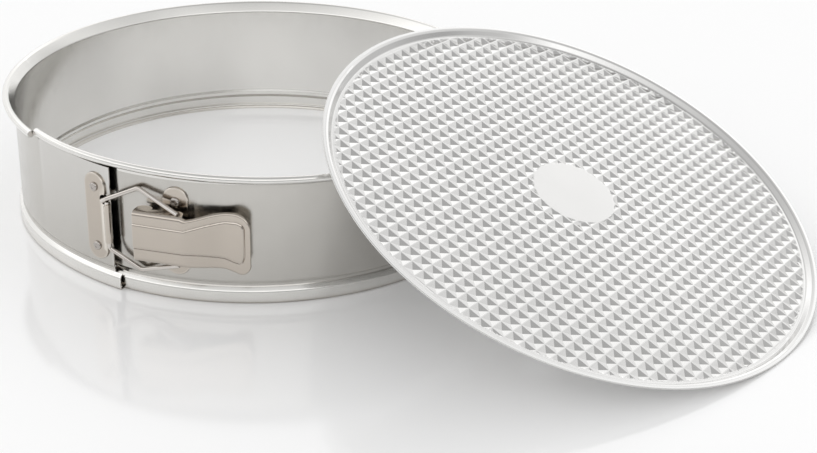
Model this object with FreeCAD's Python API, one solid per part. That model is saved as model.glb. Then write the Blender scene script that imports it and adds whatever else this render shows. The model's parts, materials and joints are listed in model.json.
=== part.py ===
"""A 26 cm springform cake pan: latched tinplate band, over-centre latch and loose base.

The band stands on the ground with its latch closed, and the base leans on its rim.
Everything is modelled about the band's own centre line, +Z up, with the ground at
z = 0, and is moved at the end so that the origin is the middle of the footprint.
"""
import FreeCAD
import Part
import math
import os

Vector = FreeCAD.Vector
UP = Vector(0, 0, 1)

# --- driving dimensions, mm and degrees -------------------------------------------
sheet = 0.6                  # tinplate of the band and the base
plate = 1.0                  # sheet of the latch parts
running_gap = 0.05           # radial play of a pin or wire in its hole
clear_gap = 0.3              # least space between pieces that move past each other
plate_gap = 0.03             # between a riveted plate and the sheet under it
cutter_reach = 20.0          # a cutting tool is at least this long
cut_start_depth = 5.0        # and starts this far under the wall's outside

wall_radius = 129.8          # outside of the band's wall
band_height = 68.0
roll_radius = 1.9            # outside of the rolled rim's tube
roll_centre_radius = 133.75
flare_foot_height = 60.0     # the wall leans out to the roll above this
bead_height = 8.2            # the foot bead that holds the base's edge
bead_bulge = 1.6
foot_lip_width = 4.8
rim_wire_radius = roll_radius - sheet - running_gap

seam_azimuth = -117.5        # end of the outer, left-hand sheet
bead_seam_azimuth = -116.1
roll_seam_azimuth = -141.7   # the rolled rim is cut further back than the wall
tongue_end_azimuth = -154.0
spring_azimuth = 62.5        # where the band bends when it springs open
spring_axis_radius = 136.3
spring_gap = 0.3
seam_half_gap = 0.3          # between the two beads at the seam, each side of its middle
roll_half_gap = 0.4          # the same between the two rolled rims
seam_standoff = 2.1          # outer sheet stands off the inner one at the seam
tongue_inset = 1.7           # the inner sheet steps in this far under the outer one
tongue_joggle = 12.0         # degrees over which it steps in
tongue_bottom = 9.6
tongue_top = 59.4
overlap_wall_top = 62.2

latch_height = 35.6          # middle of the lever and the bail above the ground
plate_height = 36.6          # middle of the two riveted plates
lever_azimuth = -104.7       # where the lever's box part is parallel to the wall
bracket_azimuth = -102.3
keeper_azimuth = -121.5
barrel_azimuth = -117.6
riveted_plate_width = 12.8
riveted_plate_length = 46.0
rivet_spacing = 31.6
rivet_radius = 1.4
rivet_head_radius = 2.4
rivet_head_height = 1.2
rivet_tail_height = 0.5

wire_radius = 1.15
barrel_centre_radius = 134.0
barrel_length = 20.6
barrel_wall = 0.6

# lever, in the latch's own frame: along the band, outward, and up from its middle
box_left = -12.8
box_right = 12.3
box_half_height = 12.15
face_outward = 139.3
flange_depth = 3.2
pivot_along = -8.7
pivot_outward = 135.7
pivot_pin_radius = 1.3
pivot_head_radius = 2.2
pivot_head_height = 0.7
pivot_ear_radius = 4.2       # on the lever; the bracket's own ears are smaller
bracket_ear_radius = 2.35
bracket_ear_root = 8.0       # how far the ears reach back along the wall from the pivot
bracket_web_lead = 0.6       # the web starts this far before the pivot
hook_along = 7.5
hook_outward = 137.3
hook_ear_radius = 4.2
handle_slope = 19.6
handle_length = 33.2
handle_corner = 5.5
handle_outline = [(0.0, 12.15), (8.0, 13.2), (18.0, 14.4), (25.0, 15.9), (28.5, 16.0)]

arm_bend_along = -14.4
arm_bend_outward = 131.6
arm_bend_height = 21.8
arm_end_height = box_half_height + wire_radius + clear_gap
bar_half_height = 13.2
tip_reach = 4.0              # the wire's free end goes this far past the bar
tip_hole_play = 1.4

base_radius = 130.0
base_depth = 4.0             # from the edge's top down to the underside
base_floor_radius = 122.4
base_shoulder_radius = 127.6
base_hem = 0.9               # height of the hemmed edge
base_centre = (165.1, -95.8)
base_lean = 22.3
base_downhill_azimuth = -38.8


# --- small geometry helpers -------------------------------------------------------
def direction(azimuth):
    angle = math.radians(azimuth)
    return Vector(math.cos(angle), math.sin(angle), 0)


def polar(azimuth, radius, z=0.0):
    return direction(azimuth) * radius + UP * z


ALONG = direction(lever_azimuth + 90)
OUTWARD = direction(lever_azimuth)


def latch_point(along, outward, height=0.0):
    return ALONG * along + OUTWARD * outward + UP * (latch_height + height)


def offset_line(points, distance):
    """The polyline moved to its left by distance, with mitred corners."""
    normals = []
    for (x0, y0), (x1, y1) in zip(points, points[1:]):
        length = math.hypot(x1 - x0, y1 - y0)
        normals.append(((y0 - y1) / length, (x1 - x0) / length))
    moved = []
    for index, (x, y) in enumerate(points):
        before = normals[max(index - 1, 0)]
        after = normals[min(index, len(normals) - 1)]
        scale = distance / (1 + before[0] * after[0] + before[1] * after[1])
        moved.append((x + (before[0] + after[0]) * scale, y + (before[1] + after[1]) * scale))
    return moved


def section_face(points):
    corners = [Vector(r, 0, z) for r, z in points]
    return Part.Face(Part.makePolygon(corners + corners[:1]))


def sheet_face(outer_points):
    """A sheet's section: its outer side goes up through the points, its metal lies inside."""
    inner_points = offset_line(outer_points, sheet)
    return section_face(outer_points + inner_points[::-1])


def ring_face(radius, z, outer, inner):
    centre = Vector(radius, 0, z)
    disc = Part.Wire(Part.makeCircle(outer, centre, Vector(0, 1, 0)))
    hole = Part.Wire(Part.makeCircle(inner, centre, Vector(0, 1, 0)))
    return Part.Face([disc, hole])


def sweep(face, start, end):
    """Turn a section about the band's centre line from one azimuth to the other."""
    placed = face.copy()
    placed.rotate(Vector(0, 0, 0), UP, start)
    return placed.revolve(Vector(0, 0, 0), UP, end - start)


def drifting_azimuth(azimuth, tangent_azimuth, growth):
    """An azimuth of the band as seen from the moved centre of a sheet that leaves the circle."""
    swing = math.radians(azimuth - tangent_azimuth)
    return azimuth - math.degrees(math.asin(growth / (wall_radius + growth) * math.sin(swing)))


def sweep_drifting(face, start, end, tangent_azimuth, growth):
    """The same, about a centre that is moved so that the sheet leaves the circle.

    It touches the circle at tangent_azimuth, and its radius is larger by growth.
    """
    first = drifting_azimuth(start, tangent_azimuth, growth)
    last = drifting_azimuth(end, tangent_azimuth, growth)
    placed = face.copy()
    placed.translate(Vector(growth, 0, 0))
    placed.rotate(Vector(0, 0, 0), UP, first)
    solid = placed.revolve(Vector(0, 0, 0), UP, last - first)
    solid.translate(direction(tangent_azimuth) * -growth)
    return solid


def loft(section_at, start, end, count):
    """A solid through the section wires at evenly spaced azimuths."""
    wires = []
    for index in range(count):
        azimuth = start + (end - start) * index / (count - 1)
        points = section_at(azimuth)
        corners = [polar(azimuth, r, z) for r, z in points]
        wires.append(Part.makePolygon(corners + corners[:1]))
    return Part.makeLoft(wires, True, False)


def drift_growth(drift, swing):
    """How much larger the radius is of an arc that drifts out this far over swing degrees."""
    return drift / (1 - math.cos(math.radians(swing)))


def join(shapes):
    return shapes[0].multiFuse(shapes[1:]).removeSplitter()


def rod(start, end, radius):
    return Part.makeCylinder(radius, (end - start).Length, start, end - start)


def bent_wire(points, radius):
    """A round wire through the points, with a ball at each bend and flat ends."""
    runs = [rod(a, b, radius) for a, b in zip(points, points[1:])]
    bends = [Part.makeSphere(radius, point) for point in points[1:-1]]
    return runs + bends


def latch_plate(outline, bottom, top):
    """An outline of (along, outward) points as a level plate between two heights."""
    corners = [latch_point(along, outward, bottom) for along, outward in outline]
    return Part.Face(Part.makePolygon(corners + corners[:1])).extrude(UP * (top - bottom))


def latch_disc(along, outward, radius, bottom, top):
    return Part.makeCylinder(radius, top - bottom, latch_point(along, outward, bottom), UP)


# --- band -------------------------------------------------------------------------
roll_height = band_height - roll_radius
bead_radius = wall_radius + bead_bulge
foot_line = [
    (bead_radius - foot_lip_width, 0.0),
    (bead_radius - 1.0, 0.0),
    (bead_radius, 1.2),
    (bead_radius, bead_height - bead_bulge),
    (wall_radius, bead_height),
]
flare_line = [
    (wall_radius, flare_foot_height),
    (wall_radius + 0.35, flare_foot_height + 2.2),
    (wall_radius + 1.1, flare_foot_height + 4.2),
    (roll_centre_radius - roll_radius + 0.3, roll_height),
]
full_face = sheet_face(foot_line + flare_line)
left_end_face = sheet_face(foot_line + [(wall_radius, overlap_wall_top)])
tongue_face = sheet_face([(wall_radius - tongue_inset, tongue_bottom),
                          (wall_radius - tongue_inset, tongue_top)])
roll_face = ring_face(roll_centre_radius, roll_height, roll_radius, roll_radius - sheet)
wire_face = Part.Face(Part.Wire(Part.makeCircle(
    rim_wire_radius, Vector(roll_centre_radius, 0, roll_height), Vector(0, 1, 0))))

spring_half_gap = math.degrees(spring_gap / 2 / wall_radius)
roll_gap_turn = math.degrees(roll_half_gap / roll_centre_radius)
seam_gap_turn = math.degrees(seam_half_gap / wall_radius)
right_start = bead_seam_azimuth + seam_gap_turn
right_end = spring_azimuth - spring_half_gap
left_start = spring_azimuth + spring_half_gap
left_end = seam_azimuth + 360
left_bead_end = bead_seam_azimuth + 360 - seam_gap_turn
left_roll_end = roll_seam_azimuth + 360 - roll_gap_turn
tongue_cut = roll_seam_azimuth + roll_gap_turn

overlap_swing = seam_azimuth - roll_seam_azimuth
standoff_growth = drift_growth(seam_standoff, overlap_swing)
left_end_centre = direction(left_roll_end) * -standoff_growth
left_end_radius = wall_radius + standoff_growth
band_centre = Vector(0, 0, 0)
keeper_turn = drifting_azimuth(keeper_azimuth + 360, left_roll_end, standoff_growth)


def tongue_section(azimuth):
    """The inner sheet under the rolled rim, stepped in below but still joined to the roll."""
    progress = min((right_start - azimuth) / tongue_joggle, 1.0)
    inset = tongue_inset * progress ** 2 * (3 - 2 * progress)
    shares = (1.0, 0.8, 0.35, 0.0)
    line = [(wall_radius - inset, tongue_bottom)]
    line += [(r - inset * share, z) for (r, z), share in zip(flare_line, shares)]
    return line + offset_line(line, sheet)[::-1]


def build_band_right():
    """From the seam round the front and right to the back, with the tongue and the rim over it."""
    wall = sweep(full_face, right_start, right_end)
    roll = sweep(roll_face, tongue_cut, right_end)
    joggle_end = right_start - tongue_joggle
    joggle = loft(tongue_section, right_start, joggle_end, 9)
    under_roll = sweep(section_face(tongue_section(joggle_end)), tongue_cut, joggle_end)
    tongue = sweep(tongue_face, tongue_end_azimuth, tongue_cut)
    holes = rivet_holes(band_centre, bracket_azimuth, wall_radius)
    return join([wall, roll, joggle, under_roll, tongue]).cut(Part.makeCompound(holes))


def build_band_left():
    """From the back round the left to the seam, standing off the tongue at its end."""
    wall = sweep(full_face, left_start, left_roll_end)
    roll = sweep(roll_face, left_start, left_roll_end)
    end = sweep_drifting(left_end_face, left_roll_end, left_end, left_roll_end, standoff_growth)
    bead_end = sweep_drifting(sheet_face(foot_line), left_end, left_bead_end,
                              left_roll_end, standoff_growth)
    holes = rivet_holes(left_end_centre, keeper_turn, left_end_radius)
    return join([wall, roll, end, bead_end]).cut(Part.makeCompound(holes + [tip_hole()]))


# --- riveted plates ---------------------------------------------------------------
def rivet_heights():
    return [plate_height + side * rivet_spacing / 2 for side in (1, -1)]


def rivet_holes(centre, azimuth, outside_radius):
    """The two holes of a riveted plate, through the plate and the sheet under it."""
    reach = sheet + plate + 0.2
    return [Part.makeCylinder(rivet_radius, reach,
                              centre + polar(azimuth, outside_radius - sheet - 0.1, z),
                              direction(azimuth)) for z in rivet_heights()]


def build_rivet(centre, azimuth, outside_radius, z):
    """A rivet with a domed head outside and a flat tail inside the band."""
    out = direction(azimuth)
    seat_gap = 0.04
    tail_start = centre + polar(azimuth, outside_radius - sheet - rivet_tail_height - seat_gap, z)
    head_start = centre + polar(azimuth, outside_radius + plate + plate_gap + seat_gap, z)
    shank = rod(tail_start, head_start + out * 0.2, rivet_radius)
    tail = Part.makeCylinder(rivet_head_radius * 0.9, rivet_tail_height, tail_start, out)
    dome_radius = (rivet_head_radius ** 2 + rivet_head_height ** 2) / (2 * rivet_head_height)
    ball = Part.makeSphere(dome_radius, head_start - out * (dome_radius - rivet_head_height))
    dome = ball.common(Part.makeCylinder(rivet_head_radius, rivet_head_height, head_start, out))
    return join([shank, tail, dome])


def curved_plate(azimuth, centre, inside_radius, outline_wire):
    """A plate that follows the wall: an outline pushed outward through a thin cylinder."""
    block = Part.Face(outline_wire).extrude(direction(azimuth) * cutter_reach)
    outside = Part.makeCylinder(inside_radius + plate, band_height, centre)
    inside = Part.makeCylinder(inside_radius, band_height, centre)
    return outside.cut(inside).common(block)


def oblong_wire(centre, azimuth, start_radius):
    """A riveted plate's outline: an upright oblong with round ends."""
    across = direction(azimuth + 90)
    middle = centre + polar(azimuth, start_radius, plate_height)
    half = riveted_plate_width / 2
    straight = riveted_plate_length / 2 - half
    corners = [middle + across * (half * side) + UP * (straight * end)
               for side, end in ((-1, -1), (-1, 1), (1, 1), (1, -1))]
    top = middle + UP * (straight + half)
    bottom = middle - UP * (straight + half)
    return Part.Wire([
        Part.makeLine(corners[0], corners[1]),
        Part.Arc(corners[1], top, corners[2]).toShape(),
        Part.makeLine(corners[2], corners[3]),
        Part.Arc(corners[3], bottom, corners[0]).toShape(),
    ])


def tip_hole():
    """The hole that the wire's free end dips into as the bail swings out."""
    start = bail_tip()[0] - OUTWARD * (cutter_reach / 2)
    return Part.makeCylinder(wire_radius + tip_hole_play, cutter_reach, start, OUTWARD)


def build_keeper_plate():
    """The plate that holds the bail: an oblong with a barrel rolled along its seam side."""
    inside_radius = left_end_radius + plate_gap
    start_radius = inside_radius - cut_start_depth
    body = curved_plate(keeper_turn, left_end_centre, inside_radius,
                        oblong_wire(left_end_centre, keeper_turn, start_radius))
    half = barrel_length / 2
    barrel_turn = drifting_azimuth(barrel_azimuth + 360, left_roll_end, standoff_growth)
    web_corners = [left_end_centre + polar(turn, start_radius, latch_height + side * half)
                   for turn, side in ((keeper_turn, -1), (keeper_turn, 1),
                                      (barrel_turn, 1), (barrel_turn, -1))]
    web = curved_plate(keeper_turn, left_end_centre, inside_radius,
                       Part.makePolygon(web_corners + web_corners[:1]))
    centre = polar(barrel_azimuth, barrel_centre_radius, latch_height - half)
    bore_radius = wire_radius + running_gap
    barrel = Part.makeCylinder(bore_radius + barrel_wall, barrel_length, centre, UP)
    bore = Part.makeCylinder(bore_radius, barrel_length + 2, centre - UP, UP)
    holes = rivet_holes(left_end_centre, keeper_turn, left_end_radius)
    return join([body, web, barrel]).cut(Part.makeCompound([bore, tip_hole()] + holes))


def build_latch_bracket():
    """The oblong riveted plate, with a web under the lever and two ears for its pivot pin.

    The ears lean back from the pivot, so that the lever's rear edge passes them as it opens.
    """
    inside_radius = wall_radius + plate_gap
    start_radius = wall_radius - cut_start_depth
    body = curved_plate(bracket_azimuth, band_centre, inside_radius,
                        oblong_wire(band_centre, bracket_azimuth, start_radius))
    ear_outside = box_half_height - plate - clear_gap
    ear_left = pivot_along - bracket_web_lead
    web_outline = [latch_point(along, start_radius, side * ear_outside)
                   for along, side in ((ear_left, -1), (ear_left, 1),
                                       (hook_along, 1), (hook_along, -1))]
    web = curved_plate(lever_azimuth, band_centre, inside_radius,
                       Part.makePolygon(web_outline + web_outline[:1]))
    root = wall_radius + 0.4
    outline = [(ear_left, root), (pivot_along + bracket_ear_root, root),
               (pivot_along + 0.85 * bracket_ear_radius, pivot_outward + 0.5 * bracket_ear_radius),
               (pivot_along - 0.68 * bracket_ear_radius, pivot_outward - 0.73 * bracket_ear_radius)]
    ears = []
    for bottom in (ear_outside - plate, -ear_outside):
        ears.append(latch_plate(outline, bottom, bottom + plate))
        ears.append(latch_disc(pivot_along, pivot_outward, bracket_ear_radius, bottom, bottom + plate))
    inner_space = Part.makeCylinder(inside_radius, band_height)
    pin_hole = latch_disc(pivot_along, pivot_outward, pivot_pin_radius + running_gap,
                          -cutter_reach, cutter_reach)
    holes = rivet_holes(band_centre, bracket_azimuth, wall_radius)
    return join([body, web] + ears).cut(Part.makeCompound([inner_space, pin_hole] + holes))


# --- lever ------------------------------------------------------------------------
def handle_point(along, height, depth=0.0):
    """A point on the sloping handle: along it from the fold, up, and in from its outer face."""
    slope = math.radians(handle_slope)
    down = math.sin(slope)
    level = math.cos(slope)
    return latch_point(box_right + along * level - depth * down,
                       face_outward - along * down - depth * level, height)


def build_handle():
    """The flared handle, a flat sheet with round corners, folded towards the wall."""
    tip_start = handle_length - handle_corner
    tip_half = handle_outline[-1][1]
    diagonal = handle_corner * (1 - math.sqrt(0.5))

    def side(sign):
        points = [handle_point(along, sign * height) for along, height in handle_outline]
        middle = handle_point(handle_length - diagonal, sign * (tip_half - diagonal))
        corner = handle_point(handle_length, sign * (tip_half - handle_corner))
        return points, middle, corner

    upper, upper_middle, upper_corner = side(1)
    lower, lower_middle, lower_corner = side(-1)
    edges = [Part.makeLine(a, b) for a, b in zip(upper, upper[1:])]
    edges.append(Part.Arc(upper[-1], upper_middle, upper_corner).toShape())
    edges.append(Part.makeLine(upper_corner, lower_corner))
    edges.append(Part.Arc(lower_corner, lower_middle, lower[-1]).toShape())
    edges.extend(Part.makeLine(b, a) for a, b in reversed(list(zip(lower, lower[1:]))))
    edges.append(Part.makeLine(lower[0], upper[0]))
    inward = handle_point(tip_start, 0, plate) - handle_point(tip_start, 0)
    return Part.Face(Part.Wire(edges)).extrude(inward)


def build_lever():
    """A channel with two flanges, drilled for the pivot pin, and a flared handle."""
    face_inside = face_outward - plate
    face = latch_plate([(box_left, face_inside), (box_right + 0.4, face_inside),
                        (box_right, face_outward), (box_left, face_outward)],
                       -box_half_height, box_half_height)
    flanges = []
    for bottom in (box_half_height - plate, -box_half_height):
        top = bottom + plate
        low = face_outward - flange_depth
        flanges.append(latch_plate([(box_left, low), (box_right, low),
                                    (box_right, face_outward), (box_left, face_outward)], bottom, top))
        flanges.append(latch_disc(pivot_along, pivot_outward, pivot_ear_radius, bottom, top))
        flanges.append(latch_disc(hook_along, hook_outward, hook_ear_radius, bottom, top))
    beyond_face = latch_plate([(box_left - 5, face_outward), (box_right + 5, face_outward),
                               (box_right + 5, face_outward + 5), (box_left - 5, face_outward + 5)],
                              -box_half_height - 1, box_half_height + 1)
    pin_hole = latch_disc(pivot_along, pivot_outward, pivot_pin_radius, -cutter_reach, cutter_reach)
    return join([face, build_handle()] + flanges).cut(Part.makeCompound([beyond_face, pin_hole]))


def build_lever_pin():
    head_start = box_half_height + 0.02
    end = head_start + pivot_head_height
    return join([latch_disc(pivot_along, pivot_outward, pivot_pin_radius, -end, end),
                 latch_disc(pivot_along, pivot_outward, pivot_head_radius, head_start, end),
                 latch_disc(pivot_along, pivot_outward, pivot_head_radius, -end, -head_start)])


# --- bail -------------------------------------------------------------------------
barrel_swing = math.radians(barrel_azimuth - lever_azimuth)
barrel_along = barrel_centre_radius * math.sin(barrel_swing)
barrel_outward = barrel_centre_radius * math.cos(barrel_swing)


def bail_tip():
    """The wire's free end over the keeper, and the corner where it meets the bar."""
    root = latch_point(barrel_along, barrel_outward, bar_half_height)
    rise = (arm_bend_height - bar_half_height) / (arm_bend_along - barrel_along)
    tip = root - ALONG * (tip_reach * math.cos(barrel_swing)) - UP * (tip_reach * rise)
    tip = tip + OUTWARD * (tip_reach * math.sin(barrel_swing))
    return tip, root


def build_bail():
    """One wire: a tip over the keeper, the upper arm, the lower arm, and the bar in the barrel."""
    tip, upper_root = bail_tip()
    upper = [tip, upper_root,
             latch_point(arm_bend_along, arm_bend_outward, arm_bend_height),
             latch_point(hook_along, hook_outward, arm_end_height)]
    lower = [upper_root,
             latch_point(barrel_along, barrel_outward, -bar_half_height),
             latch_point(arm_bend_along, arm_bend_outward, -arm_bend_height),
             latch_point(hook_along, hook_outward, -arm_end_height)]
    return join(bent_wire(upper, wire_radius) + bent_wire(lower, wire_radius))


# --- base -------------------------------------------------------------------------
def build_base():
    """A shallow round tray with a hemmed edge, leaning on the rim with its low edge down."""
    floor_top = sheet - base_depth
    outline = [
        (0, -base_depth),
        (base_floor_radius, -base_depth),
        (base_shoulder_radius, -base_hem),
        (base_radius, -base_hem),
        (base_radius, 0),
        (base_shoulder_radius, 0),
        (base_floor_radius - sheet / 2, floor_top),
        (0, floor_top),
    ]
    tray = section_face(outline).revolve(Vector(0, 0, 0), UP, 360)
    tray.rotate(Vector(0, 0, 0), direction(base_downhill_azimuth + 90), base_lean)
    low_edge = base_radius * math.sin(math.radians(base_lean))
    low_edge += base_hem * math.cos(math.radians(base_lean))
    tray.translate(Vector(base_centre[0], base_centre[1], low_edge))
    return tray


# --- assembly ---------------------------------------------------------------------
def build_nodes():
    upper, lower = rivet_heights()
    keeper_seat = (left_end_centre, keeper_turn, left_end_radius)
    bracket_seat = (band_centre, bracket_azimuth, wall_radius)
    return {
        "band_right": build_band_right(),
        "band_left": build_band_left(),
        "rim_wire_right": sweep(wire_face, tongue_cut, right_end),
        "rim_wire_left": sweep(wire_face, left_start, left_roll_end),
        "keeper_plate": build_keeper_plate(),
        "keeper_rivet_upper": build_rivet(*keeper_seat, upper),
        "keeper_rivet_lower": build_rivet(*keeper_seat, lower),
        "latch_bracket": build_latch_bracket(),
        "bracket_rivet_upper": build_rivet(*bracket_seat, upper),
        "bracket_rivet_lower": build_rivet(*bracket_seat, lower),
        "latch_lever": build_lever(),
        "lever_pin": build_lever_pin(),
        "bail_wire": build_bail(),
        "base_plate": build_base(),
    }


def main():
    nodes = build_nodes()
    box = Part.makeCompound(list(nodes.values())).optimalBoundingBox(False, False)
    shift = Vector(-(box.XMin + box.XMax) / 2, -(box.YMin + box.YMax) / 2, -box.ZMin)
    os.makedirs("parts", exist_ok=True)
    for name, shape in nodes.items():
        shape.translate(shift)
        shape.exportStep(os.path.join("parts", name + ".step"))
        print(name, "solids", len(shape.Solids), "valid", shape.isValid(),
              "volume", round(shape.Volume, 1))
    print("shift", shift, "size", box.XLength, box.YLength, box.ZLength)


main()
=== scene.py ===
"""Looks of the springform pan: band, latch and waffle base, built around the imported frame.

Lengths inside the helpers are millimetres from the band's own centre line, with the
ground at z = 0; place() turns them into the frame's metres.
"""

import json
import math

import bmesh
import bpy
from mathutils import Matrix, Vector


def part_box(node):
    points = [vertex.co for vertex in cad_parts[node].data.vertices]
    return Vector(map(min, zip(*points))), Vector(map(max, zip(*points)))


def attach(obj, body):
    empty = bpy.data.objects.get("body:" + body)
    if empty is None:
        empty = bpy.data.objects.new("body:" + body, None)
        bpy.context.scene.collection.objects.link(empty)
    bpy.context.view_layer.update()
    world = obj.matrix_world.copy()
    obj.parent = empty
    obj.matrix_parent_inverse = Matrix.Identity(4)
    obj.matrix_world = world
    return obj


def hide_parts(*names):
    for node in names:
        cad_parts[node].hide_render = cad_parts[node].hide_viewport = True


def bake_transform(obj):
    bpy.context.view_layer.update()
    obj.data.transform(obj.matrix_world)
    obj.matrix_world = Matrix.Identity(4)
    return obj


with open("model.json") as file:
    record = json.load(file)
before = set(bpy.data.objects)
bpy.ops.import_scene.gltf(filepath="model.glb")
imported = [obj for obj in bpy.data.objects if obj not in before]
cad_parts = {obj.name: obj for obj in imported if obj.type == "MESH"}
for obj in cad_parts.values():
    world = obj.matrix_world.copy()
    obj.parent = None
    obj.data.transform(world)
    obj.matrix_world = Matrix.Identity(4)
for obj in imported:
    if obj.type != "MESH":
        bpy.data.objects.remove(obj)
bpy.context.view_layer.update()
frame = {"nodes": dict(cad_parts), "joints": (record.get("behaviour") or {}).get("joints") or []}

MM = 0.001
SHEET = 0.6                       # the tinplate's thickness
WALL_INSIDE = 129.2               # inside radius of the band's wall
ROLL_RADIUS = 1.9                 # of the rolled rim, seen end on
ROLL_CENTRE = 133.75              # the roll's middle, from the centre line
LATCH = -104.7                    # azimuth of the latch's middle, in degrees
PLAY = 0.05                       # between a riveted plate and its sheet

joints = {joint["name"]: joint for joint in frame["joints"]}
left_low, left_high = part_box("band_left")
CENTRE = Vector((left_low.x + (ROLL_CENTRE + ROLL_RADIUS) * MM,
                 left_high.y - (ROLL_CENTRE + ROLL_RADIUS) * MM, 0))


def place(point):
    return CENTRE + Vector(point) * MM


def local(point):
    return (Vector(point) - CENTRE) / MM


def direction(azimuth):
    angle = math.radians(azimuth)
    return Vector((math.cos(angle), math.sin(angle), 0))


ALONG = direction(LATCH + 90)
OUT = direction(LATCH)
UP = Vector((0, 0, 1))
PIVOT = local(joints["lever"]["pos_m"])
BAR = local(joints["bail"]["pos_m"])
LATCH_Z = PIVOT.z


def latch_point(along, outward, height=0.0):
    return ALONG * along + OUT * outward + UP * (LATCH_Z + height)


def smooth_step(value):
    value = min(max(value, 0.0), 1.0)
    return value * value * (3 - 2 * value)


# --- meshes -----------------------------------------------------------------------
def add_mesh(name, points, faces, material, sharp=32):
    mesh = bpy.data.meshes.new(name)
    mesh.from_pydata([place(point) for point in points], [], faces)
    mesh.materials.append(material)
    outward = bmesh.new()
    outward.from_mesh(mesh)
    bmesh.ops.recalc_face_normals(outward, faces=outward.faces)
    outward.to_mesh(mesh)
    outward.free()
    mesh.shade_smooth()
    mesh.set_sharp_from_angle(angle=math.radians(sharp))
    piece = bpy.data.objects.new(name, mesh)
    bpy.context.scene.collection.objects.link(piece)
    return piece


def shell(sections, closed=False):
    """Faces through closed sections of equal length, capped at both ends or run round."""
    count = len(sections[0])
    points = [point for section in sections for point in section]
    faces = []
    spans = len(sections) if closed else len(sections) - 1
    for i in range(spans):
        a = i * count
        b = (i + 1) % len(sections) * count
        for j in range(count):
            k = (j + 1) % count
            faces.append((a + j, b + j, b + k, a + k))
    if not closed:
        last = (len(sections) - 1) * count
        faces.append(tuple(range(count)))
        faces.append(tuple(last + j for j in reversed(range(count))))
    return points, faces


def merge(parts):
    points, faces = [], []
    for more_points, more_faces in parts:
        start = len(points)
        points += more_points
        faces += [tuple(start + index for index in face) for face in more_faces]
    return points, faces


def rounded(corners, steps=5):
    """A 2-D line through (x, y, radius) corners, rounded, with points beside each bend."""
    support = 0.4
    line = []
    for index, (x, y, radius) in enumerate(corners):
        here = Vector((x, y))
        if radius == 0 or index in (0, len(corners) - 1):
            line.append(here)
            continue
        before = Vector(corners[index - 1][:2]) - here
        after = Vector(corners[index + 1][:2]) - here
        turn = math.pi - before.angle(after)
        reach = radius * math.tan(turn / 2)
        reach = min(reach, before.length * 0.45, after.length * 0.45)
        radius = reach / math.tan(turn / 2)
        first, last = before.normalized(), after.normalized()
        middle = here + (first + last).normalized() * (radius / math.cos(turn / 2))
        start = here + first * reach - middle
        end = here + last * reach - middle
        if before.length > reach + 3 * support:
            line.append(here + first * (reach + support))
        for step in range(steps + 1):
            line.append(middle + start.slerp(end, step / steps).normalized() * radius)
        if after.length > reach + 3 * support:
            line.append(here + last * (reach + support))
    return line


def offset(line, distance):
    """The line moved to its right by distance."""
    normals = []
    for a, b in zip(line, line[1:]):
        edge = (b - a).normalized()
        normals.append(Vector((edge.y, -edge.x)))
    moved = []
    for index, point in enumerate(line):
        before = normals[max(index - 1, 0)]
        after = normals[min(index, len(normals) - 1)]
        moved.append(point + (before + after) * (distance / (1 + before.dot(after))))
    return moved


def sheet_loop(line):
    """A closed section: the line is the pan's inside, the metal lies on its outer side."""
    return line + offset(line, SHEET)[::-1]


def ring_turns(sides):
    """The angles of a circle's corners."""
    return [2 * math.pi * side / sides for side in range(sides)]


def tube(path, radius, sides=20):
    """A round wire along a path of points, with slightly rounded ends."""
    rings = []
    side = None
    for index, point in enumerate(path):
        ahead, behind = path[min(index + 1, len(path) - 1)], path[max(index - 1, 0)]
        forward = (ahead - behind).normalized()
        if side is None:
            side = forward.orthogonal().normalized()
        side = (side - forward * side.dot(forward)).normalized()
        other = forward.cross(side)
        rings.append([point + (side * math.cos(turn) + other * math.sin(turn)) * radius
                      for turn in ring_turns(sides)])
    narrowing, bulge = 0.8, 0.25
    ends = []
    for ring, point, inner in ((rings[0], path[0], path[1]), (rings[-1], path[-1], path[-2])):
        outward = (point - inner).normalized() * radius * bulge
        ends.append([point + (corner - point) * narrowing + outward for corner in ring])
    return shell([ends[0]] + rings + [ends[1]])


def drilled(part, centre, axis, radius):
    """A closed shell with a round hole through it."""
    reach = axis * 5
    blank = add_mesh("blank", *part, WIRE)
    cutter = add_mesh("cutter", *tube([centre - reach, centre + reach], radius, 24), WIRE)
    cut = blank.modifiers.new("cut", "BOOLEAN")
    cut.operation = "DIFFERENCE"
    cut.solver = "EXACT"
    cut.object = cutter
    mesh = blank.evaluated_get(bpy.context.evaluated_depsgraph_get()).data
    result = ([local(vertex.co) for vertex in mesh.vertices],
              [tuple(face.vertices) for face in mesh.polygons])
    bpy.data.objects.remove(blank)
    bpy.data.objects.remove(cutter)
    return result


def bend_path(corners, radius):
    """3-D points with each inner corner rounded to about the radius."""
    steps = 8
    path = [corners[0]]
    for before, here, after in zip(corners, corners[1:], corners[2:]):
        a, b = before - here, after - here
        turn = math.pi - a.angle(b)
        reach = min(radius * math.tan(turn / 2), a.length * 0.45, b.length * 0.45)
        start, end = here + a.normalized() * reach, here + b.normalized() * reach
        for step in range(steps + 1):
            t = step / steps
            path.append(start * (1 - t) ** 2 + here * (2 * t * (1 - t)) + end * t ** 2)
    return path + [corners[-1]]


# --- materials --------------------------------------------------------------------
def node(tree, kind, **values):
    made = tree.nodes.new(kind)
    for name, value in values.items():
        setattr(made, name, value)
    return made


def noise(tree, coordinates, scale, detail, stretch=(1, 1, 1)):
    mapping = node(tree, "ShaderNodeMapping")
    mapping.inputs["Scale"].default_value = stretch
    tree.links.new(coordinates, mapping.inputs["Vector"])
    texture = node(tree, "ShaderNodeTexNoise")
    texture.inputs["Scale"].default_value = scale
    texture.inputs["Detail"].default_value = detail
    tree.links.new(mapping.outputs["Vector"], texture.inputs["Vector"])
    return texture.outputs["Fac"]


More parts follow.
